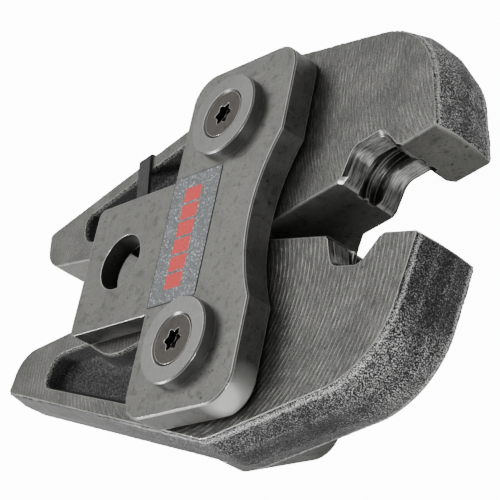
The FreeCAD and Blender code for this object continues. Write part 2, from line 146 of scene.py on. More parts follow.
def merged_copy(node: bpy.types.Object, name: str) -> bpy.types.Object:
    """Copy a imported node, with its loose triangles joined and its flat faces made whole.

    Args:
        node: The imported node.
        name: The copy's name.

    Returns:
        The new object, with a mesh of its own.
    """
    piece = node.copy()
    piece.data = node.data.copy()
    piece.name = name
    piece.parent = None
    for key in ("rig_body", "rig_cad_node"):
        del piece[key]
    bpy.context.scene.collection.objects.link(piece)
    piece.data.materials.clear()
    activate(piece)
    bpy.ops.mesh.customdata_custom_splitnormals_clear()
    bpy.ops.object.mode_set(mode="EDIT")
    bpy.ops.mesh.select_all(action="SELECT")
    bpy.ops.mesh.remove_doubles(threshold=MERGE_REACH * MM)
    bpy.ops.mesh.dissolve_limited(angle_limit=math.radians(FLAT_DEG))
    bpy.ops.object.mode_set(mode="OBJECT")
    return piece


class Graph:
    """Short ways to add and join the nodes of one material. Lengths in its patterns are in millimetres."""

    SPECK_CORE = 0.5
    EDGE_SAMPLES = 8
    EDGE_SHARES: Stops = ((0.01, 0.0), (0.08, 1.0))
    WALL_LEAN = (0.25, 0.75)

    def __init__(self, name: str) -> None:
        """Start a material that holds a principled shader and its output.

        Args:
            name: The material's name.
        """
        self.material = bpy.data.materials.new(name)
        self.material.use_nodes = True
        self.tree = self.material.node_tree
        self.tree.nodes.clear()
        self.shader = self.add("ShaderNodeBsdfPrincipled")
        output = self.add("ShaderNodeOutputMaterial")
        self.join(self.shader.outputs["BSDF"], output.inputs["Surface"])

    def add(self, kind: str, **settings: object) -> bpy.types.Node:
        """Add a node.

        Args:
            kind: The node's type.
            settings: Its properties.

        Returns:
            The node.
        """
        node = self.tree.nodes.new(kind)
        for key, value in settings.items():
            setattr(node, key, value)
        return node

    def join(self, source: "Socket | float | tuple", target: Socket) -> None:
        """Link a socket to another, or set the other to a plain value.

        Args:
            source: The socket or value that is fed in.
            target: The input that takes it.
        """
        if isinstance(source, Socket):
            self.tree.links.new(source, target)
        else:
            target.default_value = source

    def place(self, centre: Vector = ORIGIN, turn_deg: float = 0.0) -> Socket:
        """Give object coordinates in millimetres about a centre, turned about Z.

        Args:
            centre: The point that becomes zero, in metres.
            turn_deg: The turn that is taken off, in degrees.

        Returns:
            The vector socket.
        """
        coordinates = self.add("ShaderNodeTexCoord")
        mapping = self.add("ShaderNodeMapping")
        turn = Matrix.Rotation(math.radians(-turn_deg), 3, "Z")
        mapping.inputs["Location"].default_value = turn @ (-centre / MM)
        mapping.inputs["Rotation"].default_value = (0, 0, math.radians(-turn_deg))
        mapping.inputs["Scale"].default_value = (1 / MM,) * 3
        self.join(coordinates.outputs["Object"], mapping.inputs["Vector"])
        return mapping.outputs["Vector"]

    def parts(self, vector: Socket) -> list[Socket]:
        """Split a vector.

        Args:
            vector: The vector.

        Returns:
            Its three sockets.
        """
        node = self.add("ShaderNodeSeparateXYZ")
        self.join(vector, node.inputs[0])
        return list(node.outputs)

    def calc(self, operation: str, *terms: "Socket | float") -> Socket:
        """Add a math node.

        Args:
            operation: The node's operation.
            terms: Its inputs, in order.

        Returns:
            The result's socket.
        """
        node = self.add("ShaderNodeMath", operation=operation)
        for term, target in zip(terms, node.inputs):
            self.join(term, target)
        return node.outputs[0]

    def product(self, *terms: "Socket | float") -> Socket:
        """Multiply several values.

        Args:
            terms: The values.

        Returns:
            Their product's socket.
        """
        result = terms[0]
        for term in terms[1:]:
            result = self.calc("MULTIPLY", result, term)
        return result

    def vector(self, operation: str, *terms: "Socket | tuple") -> bpy.types.Node:
        """Add a vector math node.

        Args:
            operation: The node's operation.
            terms: Its inputs, in order.

        Returns:
            The node.
        """
        node = self.add("ShaderNodeVectorMath", operation=operation)
        for term, target in zip(terms, node.inputs):
            self.join(term, target)
        return node

    def noise(self, where: Socket, size: float, detail: float = 2.0, stretch: tuple = (1, 1, 1)) -> Socket:
        """Add a noise pattern.

        Args:
            where: The coordinates, in millimetres.
            size: The size of its features, in millimetres.
            detail: How many finer octaves it has.
            stretch: How many times longer its features are along each axis.

        Returns:
            The pattern's socket, about 0.5 on average.
        """
        scaled = self.vector("DIVIDE", where, stretch)
        node = self.add("ShaderNodeTexNoise")
        self.join(scaled.outputs[0], node.inputs["Vector"])
        self.join(1 / size, node.inputs["Scale"])
        self.join(detail, node.inputs["Detail"])
        return node.outputs[0]

    def cells(self, where: Socket, size: float) -> bpy.types.Node:
        """Add a cell pattern.

        Args:
            where: The coordinates, in millimetres.
            size: The size of a cell, in millimetres.

        Returns:
            The node, which gives the distance to a cell's point and the cell's own colour.
        """
        node = self.add("ShaderNodeTexVoronoi")
        self.join(where, node.inputs["Vector"])
        self.join(1 / size, node.inputs["Scale"])
        return node

    def specks(self, where: Socket, spacing: float, radius: float, dark: float) -> Socket:
        """Scatter specks, and give a grey that is dark inside them and 1 elsewhere."""
        distance = self.cells(where, spacing).outputs["Distance"]
        return self.steps(distance, (radius / spacing * self.SPECK_CORE, dark), (radius / spacing, 1.0))

    def steps(self, factor: Socket, *stops: tuple[float, float]) -> Socket:
        """Map a value through straight steps.

        Args:
            factor: The value.
            stops: Pairs of a value and the grey at it, in order.

        Returns:
            The mapped value's socket.
        """
        result = None
        for (low, low_grey), (high, high_grey) in zip(stops, stops[1:]):
            node = self.add("ShaderNodeMapRange")
            for value, target in zip((factor, low, high, 0.0, high_grey - low_grey), node.inputs):
                self.join(value, target)
            result = self.calc("ADD", node.outputs[0], low_grey if result is None else result)
        return result

    def line(self, factor: Socket, middle: float, half_width: float, height: float = 1.0) -> Socket:
        """Make a narrow peak at one place along a value, and 0 away from it."""
        return self.steps(factor, (middle - half_width, 0.0), (middle, height), (middle + half_width, 0.0))

    def mix(self, factor: "Socket | float", first: "Socket | tuple", second: "Socket | tuple") -> Socket:
        """Blend two colours.

        Args:
            factor: 0 gives the first and 1 the second.
            first: The first colour.
            second: The second colour.

        Returns:
            The blended colour's socket.
        """
        node = self.add("ShaderNodeMix", data_type="RGBA")
        for value, target in zip((factor, first, second), (node.inputs[0], node.inputs[6], node.inputs[7])):
            self.join((*value, 1) if isinstance(value, tuple) else value, target)
        return node.outputs[2]

    def tint(self, grey: Socket, colour: tuple) -> Socket:
        """Multiply a colour by a grey pattern."""
        return self.vector("MULTIPLY", grey, colour).outputs[0]

    def bump(self, height: Socket, depth: float, normal: "Socket | None" = None) -> Socket:
        """Turn a height pattern into a surface normal.

        Args:
            height: The pattern, from 0 to 1.
            depth: How high 1 is, in millimetres.
            normal: The normal that it starts from, if any.

        Returns:
            The normal's socket.
        """
        node = self.add("ShaderNodeBump")
        node.inputs["Strength"].default_value = 1.0
        self.join(depth * MM, node.inputs["Distance"])
        self.join(height, node.inputs["Height"])
        if normal is not None:
            self.join(normal, node.inputs["Normal"])
        return node.outputs[0]

    def edges(self, radius: float) -> tuple[Socket, Socket]:
        """Find the sharp outer edges of a piece.

        Args:
            radius: How wide an edge is taken to be, in millimetres.

        Returns:
            The share of edge, 0 on flat faces, and the rounded normal.
        """
        rounded = self.add("ShaderNodeBevel", samples=self.EDGE_SAMPLES)
        self.join(radius * MM, rounded.inputs["Radius"])
        geometry = self.add("ShaderNodeNewGeometry")
        match = self.vector("DOT_PRODUCT", rounded.outputs[0], geometry.outputs["Normal"])
        share = self.calc("SUBTRACT", 1.0, match.outputs["Value"])
        return self.steps(share, *self.EDGE_SHARES), rounded.outputs[0]

    def sides(self, dark: float) -> Socket:
        """Paint shade on the walls, whose normals lie in the plane of the plates.

        Args:
            dark: The grey on a wall.

        Returns:
            The grey's socket, 1 on faces that look along Z.
        """
        coordinates = self.add("ShaderNodeTexCoord")
        lean = self.calc("ABSOLUTE", self.parts(coordinates.outputs["Normal"])[2])
        wall, face = self.WALL_LEAN
        return self.steps(lean, (wall, dark), (face, 1.0))

    def dress(self, colour: "Socket | tuple", roughness: "Socket | float", normal: "Socket | None",
              metallic: "Socket | float") -> bpy.types.Material:
        """Feed the shader.

        Args:
            colour: The base colour.
            roughness: The roughness.
            normal: The normal, if it isn't the mesh's own.
            metallic: The share of metal, from 0 to 1.

        Returns:
            The material.
        """
        self.join(colour, self.shader.inputs["Base Color"])
        self.join(roughness, self.shader.inputs["Roughness"])
        self.join(metallic, self.shader.inputs["Metallic"])
        if normal is not None:
            self.join(normal, self.shader.inputs["Normal"])
        return self.material


@dataclass(frozen=True)
class GroundSteel:
    """Side faces of a lever, ground with a cup wheel: curved fine lines, lighter ridges and dark specks."""

    name: str
    wheel: Triple
    ridges: float
    ridge_period: float
    patchy: float
    tone: Triple = (0.105, 0.105, 0.0975)
    edge_highlight: Triple = (1.0, 1.0, 0.96)
    edge_width: float = 0.4
    edge_gloss: float = 0.22
    arm_rear: float = -42.0
    arm_front: float = 0.0
    arm_marks: float = 0.4
    arm_light: float = 1.3
    arm_highlight: float = 0.4
    line_size: float = 0.4
    line_length: float = 6.0
    line_greys: Stops = ((0.3, 0.6), (0.5, 1.0), (0.7, 1.5))
    sway_size: float = 5.0
    sway: float = 2.5
    ridge_crest: Stops = ((0.1, 0.0), (0.95, 1.0))
    ridge_lines: Stops = ((0.35, 0.5), (0.6, 1.2))
    patch_size: float = 8.0
    patch_edge: tuple[float, float] = (0.42, 0.58)
    patch_greys: Stops = ((0.3, 0.82), (0.7, 1.14))
    grit_size: float = 0.3
    grit_height: float = 0.4
    grit_greys: Stops = ((0.32, 0.38), (0.68, 1.6))
    grit_roughness: Stops = ((0.2, 0.34), (0.8, 0.52))
    fine_specks: Triple = (1.3, 0.2, 0.35)
    coarse_specks: Triple = (4.3, 0.42, 0.45)
    depth: float = 0.035
    metallic: float = 0.8

    def make(self, centre: Vector) -> bpy.types.Material:
        """Build the material.

        Args:
            centre: The pivot that the pattern is laid out about.

        Returns:
            The material.
        """
        graph = Graph(self.name)
        where = graph.place(centre)
        polar, across = self.arcs(graph, where)
        lines = graph.noise(polar, self.line_size, detail=3.0)
        sway = graph.noise(polar, self.sway_size, detail=1.0)
        broad = graph.noise(where, self.patch_size, detail=3.0)
        grit = graph.noise(where, self.grit_size, detail=2.0)
        turns = graph.product(across, math.tau / self.ridge_period)
        phase = graph.calc("MULTIPLY_ADD", sway, self.sway, turns)
        patch_low, patch_high = self.patch_edge
        ridges = graph.product(
            graph.steps(graph.calc("SINE", phase), *self.ridge_crest),
            graph.steps(broad, (patch_low, 1 - self.patchy), (patch_high, 1.0)),
            graph.steps(lines, *self.ridge_lines),
        )
        marks = graph.product(
            graph.steps(lines, *self.line_greys),
            graph.calc("MULTIPLY_ADD", ridges, self.ridges, 1 - self.ridges / 4),
        )
        ahead = graph.parts(where)[0]
        strength = self.along_arm(graph, ahead, self.arm_marks)
        tone = graph.product(
            graph.calc("MULTIPLY_ADD", graph.calc("SUBTRACT", marks, 1.0), strength, 1.0),
            self.along_arm(graph, ahead, self.arm_light),
            graph.steps(broad, *self.patch_greys),
            graph.steps(grit, *self.grit_greys),
            graph.specks(where, *self.fine_specks),
            graph.specks(where, *self.coarse_specks),
        )
        # Painted highlight: the rounded edges take the bright edge tone, less of it towards the rear of the
        # arm.
        edge, rounded = graph.edges(self.edge_width)
        edge = graph.product(edge, self.along_arm(graph, ahead, self.arm_highlight))
        colour = graph.mix(edge, graph.tint(tone, self.tone), self.edge_highlight)
        height = graph.calc("MULTIPLY_ADD", graph.product(ridges, strength), self.ridges,
                            graph.calc("MULTIPLY_ADD", grit, self.grit_height, lines))
        rough = graph.steps(grit, *self.grit_roughness)
        rough = graph.calc("MULTIPLY_ADD", edge, -self.edge_gloss, rough)
        return graph.dress(colour, rough, graph.bump(height, self.depth, rounded), self.metallic)

    def arcs(self, graph: Graph, where: Socket) -> tuple[Socket, Socket]:
        """Lay coordinates out in arcs about the wheel's centre.

        Args:
            graph: The material's graph.
            where: The plain coordinates.

        Returns:
            The vector of distance and of way along the arc, and the distance alone.
        """
        offset = graph.vector("SUBTRACT", where, self.wheel).outputs[0]
        offset = graph.vector("MULTIPLY", offset, (1, 1, 0)).outputs[0]
        across = graph.vector("LENGTH", offset).outputs["Value"]
        x, y, _ = graph.parts(offset)
        polar = graph.add("ShaderNodeCombineXYZ")
        graph.join(across, polar.inputs[0])
        graph.join(graph.product(graph.calc("ARCTAN2", y, x), across, 1 / self.line_length), polar.inputs[1])
        return polar.outputs[0], across

    def along_arm(self, graph: Graph, ahead: Socket, at_rear: float) -> Socket:
        """Fade a value from 1 at the pivot to another at the rear of the arm."""
        return graph.steps(ahead, (self.arm_rear, at_rear), (self.arm_front, 1.0))


@dataclass(frozen=True)
class ForgedSteel:
    """Forged and blasted skin: bright grains among dark pits.

    Light crumbs stand along its border with the ground faces, painted highlight lines run along the creases
    where the dies met, and the rear of the arm is smoother. A painted light and shade by height across the
    lever thins or thickens the bright grains, and sets the tip apart.
    """

    name: str
    turn_deg: float
    half_thickness: float
    band: float
    side: int
    painted_tip_light: float
    dark: Triple = (0.013, 0.013, 0.015)
    bright: Triple = (0.85, 0.85, 0.83)
    crumb: Triple = (1.0, 1.0, 0.97)
    plain: Triple = (0.1, 0.1, 0.097)
    grain_size: float = 0.25
    grain_shares: Stops = ((0.47, 0.0), (0.57, 0.24), (0.66, 1.15))
    patch_size: float = 3.8
    patch_shares: Stops = ((0.3, 0.6), (0.7, 1.3))
    inset_shares: Triple = (1.2, 0.9, 0.5)
    painted_light_by_height: Stops = ((-10.0, 0.45), (-3.0, 1.3), (5.0, 1.3))
    tip_height: float = 13.0
    wander_size: float = 2.6
    wander: float = 1.2
    crumb_middle: float = 1.0
    crumb_reach: float = 0.75
    crumb_grains: Stops = ((0.42, 0.0), (0.58, 1.0))
    crumb_rear: Stops = ((0.4, 1.0), (1.0, 0.12))
    ridge_wander: float = 0.5
    ridge_inset: float = 0.25
    ridge_reach: float = 0.45
    ridge_grains: Stops = ((0.4, 0.05), (0.62, 0.3))
    ridge_patches: Stops = ((0.35, 0.3), (0.6, 1.0))
    smooth_from: float = -8.0
    smooth_to: float = -40.0
    streak_size: float = 0.5
    streak_stretch: Triple = (16.0, 16.0, 1.0)
    streak_greys: Stops = ((0.35, 0.75), (0.65, 1.25))
    smooth_grains: Stops = ((0.35, 0.75), (0.65, 1.2))
    smooth_patches: Stops = ((0.3, 0.8), (0.7, 1.1))
    smooth_specks: Triple = (6.0, 0.9, 0.55)
    smooth_crease_highlight: float = 0.8
    smooth_relief: float = 0.15
    depth: float = 0.3
    roughness: float = 0.44
    metallic: float = 0.75

    def make(self, centre: Vector) -> bpy.types.Material:
        """Build the material.

        Args:
            centre: The pivot that the pattern is laid out about.

        Returns:
            The material.
        """
        graph = Graph(self.name)
        where = graph.place(centre, self.turn_deg)
        x, y, z = graph.parts(where)
        wander = graph.noise(where, self.wander_size, detail=2.0)
        height = graph.calc("ABSOLUTE", z)
        inset = graph.calc("SUBTRACT", self.half_thickness, height)
        inset = graph.calc("SUBTRACT", inset, self.wander / 2)
        inset = graph.calc("MULTIPLY_ADD", wander, self.wander, inset)
        grains = graph.noise(where, self.grain_size, detail=1.5)
        patches = graph.noise(where, self.patch_size, detail=2.0)
        smooth = graph.steps(x, (self.smooth_to, 1.0), (self.smooth_from, 0.0))
        at_border, at_band, at_middle = self.inset_shares
        # The last factor is painted light and shade: by height across the lever it thins the bright grains
        # where the flank lies in shade and thickens them where it would catch the light, and the tip takes
        # its own share.
        skin = graph.product(
            graph.steps(grains, *self.grain_shares),
            graph.steps(inset, (0.0, at_border), (self.half_thickness - self.band / 2, at_band),
                        (self.half_thickness, at_middle)),
            graph.steps(patches, *self.patch_shares),
            graph.steps(graph.product(y, -self.side), *self.painted_light_by_height, (self.tip_height, self.painted_tip_light)),
        )
        crumbs = graph.product(
            graph.line(inset, self.crumb_middle, self.crumb_reach),
            graph.steps(grains, *self.crumb_grains),
            graph.steps(smooth, *self.crumb_rear),
        )
        # Painted highlight lines along the creases beside the flash band, also on the smoother rear.
        crease_highlight = graph.product(
            graph.line(graph.calc("ADD", height, graph.product(wander, self.ridge_wander)),
                       self.band / 2 + self.ridge_inset, self.ridge_reach),
            graph.steps(grains, *self.ridge_grains),
            graph.steps(patches, *self.ridge_patches),
        )
        share = graph.calc("MAXIMUM", skin, crease_highlight)
        coarse = graph.mix(crumbs, graph.mix(share, self.dark, self.bright), self.crumb)
        streaks = graph.noise(where, self.streak_size, detail=3.0, stretch=self.streak_stretch)
        even = graph.product(
            graph.steps(streaks, *self.streak_greys),
            graph.steps(grains, *self.smooth_grains),
            graph.steps(patches, *self.smooth_patches),
            graph.specks(where, *self.smooth_specks),
            graph.calc("ADD", 1.0, graph.product(crease_highlight, self.smooth_crease_highlight)),
        )
        colour = graph.mix(smooth, coarse, graph.tint(even, self.plain))
        relief = graph.product(grains, graph.steps(smooth, (0.0, 1.0), (1.0, self.smooth_relief)))
        return graph.dress(colour, self.roughness, graph.bump(relief, self.depth), self.metallic)


@dataclass(frozen=True)
class PocketSteel:
    """Bottom and walls of a pocket: dark forged skin with fine light grains and a broken light rim."""

    name: str
    turn_deg: float
    half_thickness: float
    dark: Triple = (0.008, 0.008, 0.009)
    bright: Triple = (0.16, 0.16, 0.16)
    rim: Triple = (0.5, 0.5, 0.47)
    grain_size: float = 0.3
    grain_shares: Stops = ((0.44, 0.0), (0.66, 1.0))
    pocket_wall_shade: float = 0.2
    rim_insets: Stops = ((0.05, 1.0), (1.2, 0.0))
    rim_grains: Stops = ((0.42, 0.0), (0.58, 1.0))
    depth: float = 0.3
    roughness: float = 0.6
    metallic: float = 0.3

    def make(self, centre: Vector) -> bpy.types.Material:
        """Build the material.

        Args:
            centre: The pivot that the pattern is laid out about.

        Returns:
            The material.
        """
        graph = Graph(self.name)
        where = graph.place(centre, self.turn_deg)
        inset = graph.calc("SUBTRACT", self.half_thickness, graph.calc("ABSOLUTE", graph.parts(where)[2]))
        grains = graph.noise(where, self.grain_size, detail=1.5)
        # Fewer light grains on the pocket's walls: painted shade.
        share = graph.product(graph.steps(grains, *self.grain_shares), graph.sides(self.pocket_wall_shade))
        rim = graph.product(graph.steps(inset, *self.rim_insets), graph.steps(grains, *self.rim_grains))
        colour = graph.mix(rim, graph.mix(share, self.dark, self.bright), self.rim)
        return graph.dress(colour, self.roughness, graph.bump(grains, self.depth), self.metallic)


@dataclass(frozen=True)
class PaintedGlint:
    """A painted highlight on a wall, where its rounded corner catches the light."""

    middle: Triple
    core: float = 3.5
    reach: float = 8.0
    strength: float = 0.8


@dataclass(frozen=True)
class SmoothSteel:
    """Plain machined or turned steel with mottling, stains, dots and fine scratches."""

    name: str
    tone: Triple
    roughness: float = 0.38
    rough_spread: tuple[float, float] = (0.06, 0.08)
    rough_edge: tuple[float, float] = (0.2, 0.8)
    metallic: float = 0.8
    mottle: float = 0.14
    mottle_edge: tuple[float, float] = (0.3, 0.7)
    # The wall greys are painted shade on the side walls, and on the tab's walls behind head_from.
    walls: float = 1.0
    head_from: float = 0.0
    head_fade: float = 2.0
    tab_wall_shade: float = 0.62
    edge_highlight: Triple = (0.9, 0.9, 0.86)
    edge_width: float = 0.2
    edge_gloss: float = 0.15
    patch_size: float = 6.0
    fine_size: float = 0.4
    stain_size: float = 2.0
    stain_edge: tuple[float, float] = (0.3, 0.46)
    stain_depth: float = 2.4
    scratch: float = 0.05
    line_size: float = 0.3
    line_stretch: Triple = (1.0, 20.0, 1.0)
    line_edge: tuple[float, float] = (0.35, 0.65)
    line_height: float = 0.5
    hair_size: float = 0.22
    hair_stretch: Triple = (40.0, 3.0, 40.0)
    hair_edge: tuple[float, float] = (0.72, 0.8)
    hair_light: float = 3.0
    dots: float = 0.4
    fine_dots: tuple[float, float] = (1.5, 0.24)
    coarse_dots: tuple[float, float] = (4.6, 0.5)
    depth: float = 0.012
    glint_place: "PaintedGlint | None" = None
    turn_deg: float = 0.0

    def make(self, centre: Vector = ORIGIN) -> bpy.types.Material:
        """Build the material.

        Args:
            centre: The point that the pattern is laid out about.

        Returns:
            The material.
        """
        graph = Graph(self.name)
        where = graph.place(centre, self.turn_deg)
        broad = graph.noise(where, self.patch_size, detail=4.0)
        fine = graph.noise(where, self.fine_size, detail=2.0)
        lines = graph.noise(where, self.line_size, detail=2.0, stretch=self.line_stretch)
        tone = self.tones(graph, where, broad, fine, lines)
        # Painted highlight: the rounded edges take the bright edge tone.
        edge, rounded = graph.edges(self.edge_width)
        # Painted highlight: the glint patch brightens the rounded corner wall as a reflection would.
        if self.glint_place:
            edge = graph.calc("MAXIMUM", edge, self.painted_glint(graph, where, self.glint_place))
        colour = graph.mix(edge, graph.tint(tone, self.tone), self.edge_highlight)
        height = graph.calc("MULTIPLY_ADD", lines, self.line_height, fine)
        less, more = self.rough_spread
        rough_low, rough_high = self.rough_edge
        rough = graph.steps(broad, (rough_low, self.roughness - less), (rough_high, self.roughness + more))
        rough = graph.calc("MULTIPLY_ADD", edge, -self.edge_gloss, rough)
        return graph.dress(colour, rough, graph.bump(height, self.depth, rounded), self.metallic)

    def tones(self, graph: Graph, where: Socket, broad: Socket, fine: Socket, lines: Socket) -> Socket:
        """Put the marks on the steel together, with painted shade on the walls.

        Args:
            graph: The material's graph.
            where: The coordinates.
            broad: The pattern of the patches.
            fine: The pattern of the fine mottling.
            lines: The pattern of the scratches.

        Returns:
            The grey that the steel's colour is multiplied by.
        """
        stains = graph.noise(where, self.stain_size, detail=4.0)
        hairs = graph.noise(where, self.hair_size, detail=0.0, stretch=self.hair_stretch)
        low, high = self.mottle_edge
        line_low, line_high = self.line_edge
        hair_low, hair_high = self.hair_edge
        stain_low, stain_high = self.stain_edge
        tone = graph.product(
            graph.steps(broad, (low, 1 - self.mottle), (high, 1 + self.mottle)),
            graph.steps(fine, (low, 1 - self.mottle), (high, 1 + self.mottle)),
            graph.steps(lines, (line_low, 1 - self.scratch), (line_high, 1 + self.scratch)),
            graph.steps(hairs, (hair_low, 1.0), (hair_high, 1 + self.hair_light * self.scratch)),
            graph.steps(stains, (stain_low, 1 - self.stain_depth * self.mottle), (stain_high, 1.0)),
            graph.specks(where, *self.fine_dots, self.dots),
            graph.specks(where, *self.coarse_dots, self.dots),
            graph.sides(self.walls),
        )
        # Painted shade on the tab's walls behind head_from; the head's walls keep the face's tone.
        if self.head_from:
            ahead = graph.parts(where)[0]
            head = graph.steps(ahead, (self.head_from - self.head_fade, 0.0), (self.head_from, 1.0))
            tone = graph.product(tone, graph.calc("MAXIMUM", graph.sides(self.tab_wall_shade), head))
        return tone

    def painted_glint(self, graph: Graph, where: Socket, glint_place: PaintedGlint) -> Socket:
        """Find the painted highlight on the walls.

        Args:
            graph: The material's graph.
            where: The coordinates.
            glint_place: The place.

        Returns:
            Its share, 0 away from it.
        """
        offset = graph.vector("SUBTRACT", where, glint_place.middle).outputs[0]
        distance = graph.vector("LENGTH", offset).outputs["Value"]
        near = graph.steps(distance, (glint_place.core, 1.0), (glint_place.reach, 0.0))
        return graph.product(near, graph.steps(graph.sides(0.0), (0.0, glint_place.strength), (1.0, 0.0)))


@dataclass(frozen=True)
class PressSteel:
    """Hardened press contour: lands turned across, with painted shade in the bead groove and painted
    highlights on the lands and their edges.
    """

    name: str
    turn_deg: float
    parting: float
    land_edges: tuple[float, ...]
    tone: Triple = (0.285, 0.285, 0.277)
    # The light tone is the colour of the painted highlights.
    light: Triple = (0.75, 0.74, 0.7)
    groove: Triple = (2.7, 3.3, 0.22)
    lead_in: float = 7.6
    lead_in_fade: float = 0.1
    painted_lead_in_shade: float = 0.3
    hatch_size: float = 0.34
    hatch_stretch: Triple = (9.0, 9.0, 1.0)
    hatch_greys: Stops = ((0.38, 0.42), (0.64, 1.65))
    patch_size: float = 1.4
    base: float = 0.7
    highlight_height: float = 6.3
    highlight_reach: float = 2.6
    land_highlight: float = 2.4
    highlight_patches: Stops = ((0.35, 0.7), (0.65, 1.15))
    lip_highlight: Stops = ((0.25, 0.6), (0.75, 0.0))
    lip_highlight_patches: Stops = ((0.35, 0.4), (0.6, 1.0))
    line_reach: float = 0.16
    line_highlight: float = 0.6
    depth: float = 0.02
    roughness: float = 0.27
    metallic: float = 0.9

    def make(self, centre: Vector) -> bpy.types.Material:
        """Build the material.

        Args:
            centre: The pivot that the pattern is laid out about.

        Returns:
            The material.
        """
        graph = Graph(self.name)
        where = graph.place(centre, self.turn_deg)
        _, y, z = graph.parts(where)
        height = graph.calc("SUBTRACT", self.parting, graph.calc("ABSOLUTE", y))
        reach = graph.calc("ABSOLUTE", z)
        hatch = graph.noise(where, self.hatch_size, detail=2.0, stretch=self.hatch_stretch)
        patches = graph.noise(where, self.patch_size, detail=2.0)
        # Painted highlight: a bright band across the upper part of each land.
        land_highlight = graph.product(graph.line(height, self.highlight_height, self.highlight_reach, self.land_highlight),
                             graph.steps(patches, *self.highlight_patches))
        # Painted shade in the bead groove and on the lead-in strip beyond lead_in.
        groove_from, groove_to, painted_groove_shade = self.groove
        lead_from, lead_to = self.lead_in - self.lead_in_fade, self.lead_in + self.lead_in_fade
        tone = graph.product(
            graph.steps(hatch, *self.hatch_greys),
            graph.calc("ADD", self.base, land_highlight),
            graph.steps(reach, (groove_from, painted_groove_shade), (groove_to, 1.0), (lead_from, 1.0),
                        (lead_to, self.painted_lead_in_shade)),
        )
        # Painted highlights along the lip at the parting face and along the land edges, in the light tone.
        bright = graph.product(graph.steps(height, *self.lip_highlight), graph.steps(patches, *self.lip_highlight_patches))
        for place in self.land_edges:
            bright = graph.calc("MAXIMUM", bright, graph.line(reach, place, self.line_reach, self.line_highlight))
        colour = graph.mix(bright, graph.tint(tone, self.tone), self.light)
        return graph.dress(colour, self.roughness, graph.bump(hatch, self.depth), self.metallic)


@dataclass(frozen=True)
class LabelFoil:
    """Glittering silver foil with a row of plain red blocks and a dark cut edge."""

    name: str
    middle: Vector
    length: float
    width: float
    foil: Triple = (0.14, 0.149, 0.156)
    red: Triple = (0.72, 0.012, 0.012)
    cut: Triple = (0.03, 0.03, 0.03)
    border: float = 0.22
    blocks: int = 6
    block_length: float = 3.7
    block_pitch: float = 4.4
    block_width: float = 5.6
    shift: float = -0.6
    flake_size: float = 0.32
    flake_greys: Stops = ((0.0, 0.65), (0.8, 1.1), (0.92, 2.0), (1.0, 3.6))
    print_size: float = 0.5
    print_greys: Stops = ((0.3, 0.82), (0.7, 1.15))
    depth: float = 0.02
    roughness: float = 0.4
    metallic: float = 0.5

    def make(self) -> bpy.types.Material:
        """Build the material.

        Returns:
            The material.
        """
        graph = Graph(self.name)
        where = graph.place(self.middle)
        x, y, _ = graph.parts(where)
        flake = graph.parts(graph.cells(where, self.flake_size).outputs["Color"])[0]
        foil = graph.tint(graph.steps(flake, *self.flake_greys), self.foil)
        inside = self.in_blocks(graph, x, y)
        wear = graph.noise(where, self.print_size, detail=2.0)
        red = graph.tint(graph.steps(wear, *self.print_greys), self.red)
        edge = graph.calc(
            "MAXIMUM",
            graph.calc("GREATER_THAN", graph.calc("ABSOLUTE", x), self.width / 2 - self.border),
            graph.calc("GREATER_THAN", graph.calc("ABSOLUTE", y), self.length / 2 - self.border),
        )
        colour = graph.mix(edge, graph.mix(inside, foil, red), self.cut)
        metallic = graph.calc("MULTIPLY_ADD", inside, -self.metallic, self.metallic)
        return graph.dress(colour, self.roughness, graph.bump(flake, self.depth), metallic)

    def in_blocks(self, graph: Graph, x: Socket, y: Socket) -> Socket:
        """Find the row of blocks.

        Args:
            graph: The material's graph.
            x: The way across the foil.
            y: The way along it.

        Returns:
            1 in a block and 0 elsewhere.
        """
        run = self.blocks * self.block_pitch - (self.block_pitch - self.block_length)
        along = graph.calc("ADD", y, run / 2)
        return graph.product(
            graph.calc("LESS_THAN", graph.calc("FLOORED_MODULO", along, self.block_pitch), self.block_length),
            graph.calc("GREATER_THAN", along, 0.0),
            graph.calc("LESS_THAN", along, run),
            graph.calc("LESS_THAN", graph.calc("ABSOLUTE", graph.calc("SUBTRACT", x, self.shift)),
                       self.block_width / 2),
        )


@dataclass(frozen=True)
class Rubber:
    """Matte dark strap with faint dust and mould texture."""

    name: str = "strap_rubber"
    tone: Triple = (0.02, 0.02, 0.021)
    dust_size: float = 1.8
    dust_greys: Stops = ((0.3, 0.75), (0.7, 1.5))
    fine_size: float = 0.25
    fine_greys: Stops = ((0.3, 0.8), (0.7, 1.2))
    depth: float = 0.02
    roughness: float = 0.62

    def make(self) -> bpy.types.Material:
        """Build the material.

        Returns:
            The material.
        """
        graph = Graph(self.name)
        where = graph.place()
        dust = graph.noise(where, self.dust_size, detail=3.0)
        fine = graph.noise(where, self.fine_size, detail=2.0)
        tone = graph.product(graph.steps(dust, *self.dust_greys), graph.steps(fine, *self.fine_greys))
        return graph.dress(graph.tint(tone, self.tone), self.roughness, graph.bump(fine, self.depth), 0.0)


